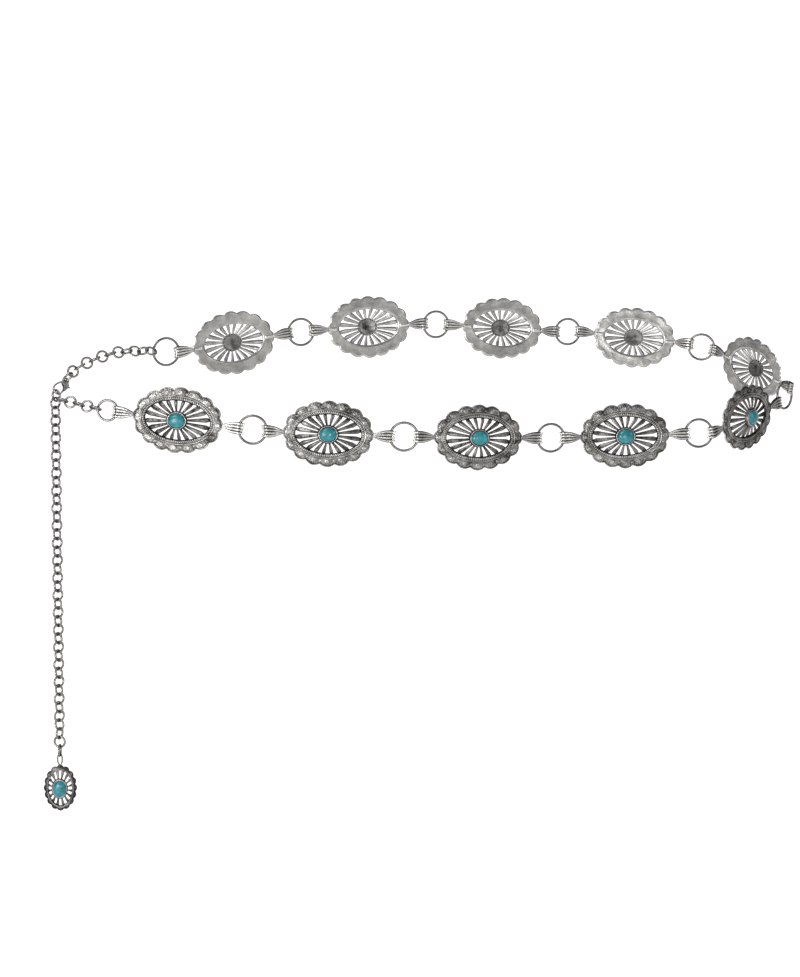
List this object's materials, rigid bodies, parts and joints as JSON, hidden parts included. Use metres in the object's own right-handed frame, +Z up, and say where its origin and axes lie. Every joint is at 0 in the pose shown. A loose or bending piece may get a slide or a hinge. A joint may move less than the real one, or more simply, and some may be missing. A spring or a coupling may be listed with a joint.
{
  "type": "concho belt",
  "caption": "Worn-form loop of pierced scalloped oval conchos with turquoise stones on wire rings, closed by a lobster clasp, with a hanging chain end and a small oval pendant",
  "frame": {"origin": "the middle of the waist opening, halfway along the closed loop and halfway between its front and rear rows", "axes": "+X along the loop to the right as pictured, away from the clasp; +Y to the back, away from the viewer; +Z up, against the hanging chain end"},
  "size_m": [0.4327, 0.1485, 0.2874],
  "materials": {
    "antique_silver": "cast zinc alloy, antique silver plated, polished high and dark in the recesses",
    "ring_silver": "round wire, antique silver plated",
    "chain_silver": "round wire links, antique silver plated",
    "clasp_silver": "cast, antique silver plated, dark",
    "turquoise": "polished opaque cabochon, mottled blue to teal"
  },
  "bodies": {
    "belt": {"concho_front_1": "antique_silver", "stone_front_1": "turquoise", "concho_front_2": "antique_silver", "stone_front_2": "turquoise", "concho_front_3": "antique_silver", "stone_front_3": "turquoise", "concho_front_4": "antique_silver", "stone_front_4": "turquoise", "concho_front_5": "antique_silver", "stone_front_5": "turquoise", "concho_rear_1": "antique_silver", "stone_rear_1": "turquoise", "concho_rear_2": "antique_silver", "stone_rear_2": "turquoise", "concho_rear_3": "antique_silver", "stone_rear_3": "turquoise", "concho_rear_4": "antique_silver", "stone_rear_4": "turquoise", "concho_rear_5": "antique_silver", "stone_rear_5": "turquoise", "ring_front_1": "ring_silver", "ring_front_2": "ring_silver", "ring_front_3": "ring_silver", "ring_front_4": "ring_silver", "ring_front_end": "ring_silver", "ring_side": "ring_silver", "ring_rear_end": "ring_silver", "ring_rear_1": "ring_silver", "ring_rear_2": "ring_silver", "ring_rear_3": "ring_silver", "ring_rear_4": "ring_silver", "chain_front": "chain_silver", "chain_rear": "chain_silver", "chain_tail": "chain_silver", "clasp_body": "clasp_silver"},
    "lever": {"clasp_lever": "clasp_silver"},
    "pendant": {"pendant": "antique_silver", "pendant_stone": "turquoise"}
  },
  "joints": [
    {"name": "lever_hinge", "type": "hinge", "parent": "belt", "child": "lever", "pos_m": [-0.20816, -0.05311, -0.0007], "axis": [-0.5715, 0.6864, -0.4497], "range_deg": [0, 20], "stiffness_Nm_per_rad": 0.004, "springref_deg": -8.59},
    {"name": "pendant_swing", "type": "hinge", "parent": "belt", "child": "pendant", "pos_m": [-0.21368, -0.05825, -0.20894], "axis": [0, 1, 0], "range_deg": [-35, 35]}
  ]
}
